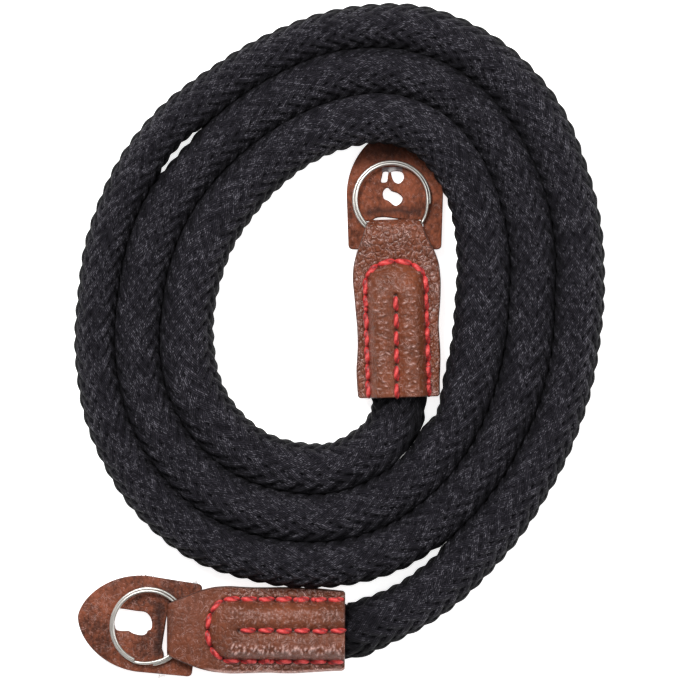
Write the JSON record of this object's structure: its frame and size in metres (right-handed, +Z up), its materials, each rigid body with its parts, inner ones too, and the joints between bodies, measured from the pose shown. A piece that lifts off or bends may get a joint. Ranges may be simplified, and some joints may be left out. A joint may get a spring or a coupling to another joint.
{
  "type": "coiled camera strap",
  "caption": "Braided black rope camera strap laid in a flat coil, with stitched brown leather ends, split rings and leather ring guards.",
  "frame": {"origin": "middle of the strap's outline, on the surface that it lies on", "axes": "+Z up from the surface; +Y along the coil's longer side, away from the outer leather end; +X to the right of +Y, along the outer leather end towards its mouth"},
  "size_m": [0.127, 0.1614, 0.0135],
  "materials": {
    "rope": "matte braided cord, near black",
    "leather": "pebbled grain, satin",
    "guard": "smooth split leather with fuzzy cut edges",
    "steel": "polished",
    "thread": "waxed red thread"
  },
  "bodies": {
    "root": {"rope": "rope", "leather_end_inner": "leather", "leather_end_outer": "leather", "split_ring_inner": "steel", "split_ring_outer": "steel", "ring_guard_inner": "guard", "ring_guard_outer": "guard"}
  },
  "joints": []
}
